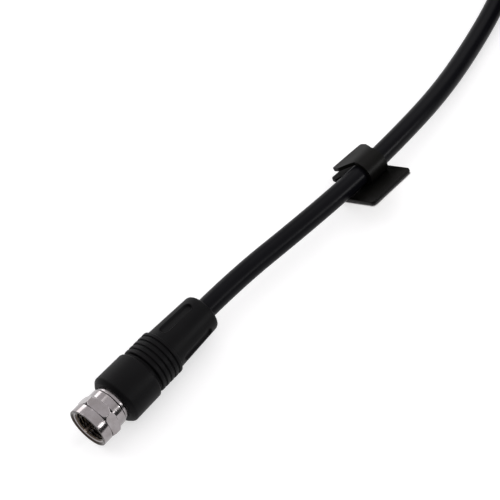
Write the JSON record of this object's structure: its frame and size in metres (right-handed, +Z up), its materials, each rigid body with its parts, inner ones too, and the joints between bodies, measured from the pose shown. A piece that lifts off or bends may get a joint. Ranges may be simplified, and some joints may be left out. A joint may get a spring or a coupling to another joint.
{
  "type": "coaxial antenna lead",
  "caption": "Black coaxial antenna lead with a screw-on metal plug in a ribbed boot at each end, spare cable folded into a tied hank, and an adhesive cable clip.",
  "frame": {"origin": "centre of the near plug's mouth, on the plug's axis", "axes": "+X out of the near plug's mouth, along its axis; +Z up from the surface that the lead lies on"},
  "size_m": [0.3256, 0.0498, 0.0329],
  "materials": {
    "nickel": "bright nickel plate",
    "nickel_sleeve": "nickel plate",
    "foam_core": "foamed white",
    "conductor": "bare copper colour",
    "braid": "woven wire",
    "boot_black": "satin moulded",
    "jacket_black": "smooth extruded",
    "clip_black": "fine matt",
    "foam_tape": "closed-cell foam",
    "liner": "coated paper",
    "tie_black": "soft band"
  },
  "bodies": {
    "lead": {"post": "nickel", "crimp_sleeve": "nickel_sleeve", "dielectric_core": "foam_core", "centre_conductor": "conductor", "braid_wrap": "braid", "boot": "boot_black", "cable": "jacket_black", "cable_clip": "clip_black", "clip_tape": "foam_tape", "clip_liner": "liner", "cable_hank": "jacket_black", "hank_tie": "tie_black", "far_cable": "jacket_black", "far_post": "nickel", "far_crimp_sleeve": "nickel_sleeve", "far_dielectric_core": "foam_core", "far_centre_conductor": "conductor", "far_braid_wrap": "braid", "far_boot": "boot_black"},
    "near_nut": {"coupling_nut": "nickel"},
    "far_nut": {"far_coupling_nut": "nickel"}
  },
  "joints": [
    {"name": "near_nut_spin", "type": "hinge", "parent": "lead", "child": "near_nut", "pos_m": [0, 0, 0], "axis": [1, 0, 0], "continuous": true},
    {"name": "far_nut_spin", "type": "hinge", "parent": "lead", "child": "far_nut", "pos_m": [-0.1906, 0.0109, 0.0183], "axis": [1, 0, 0], "continuous": true}
  ]
}
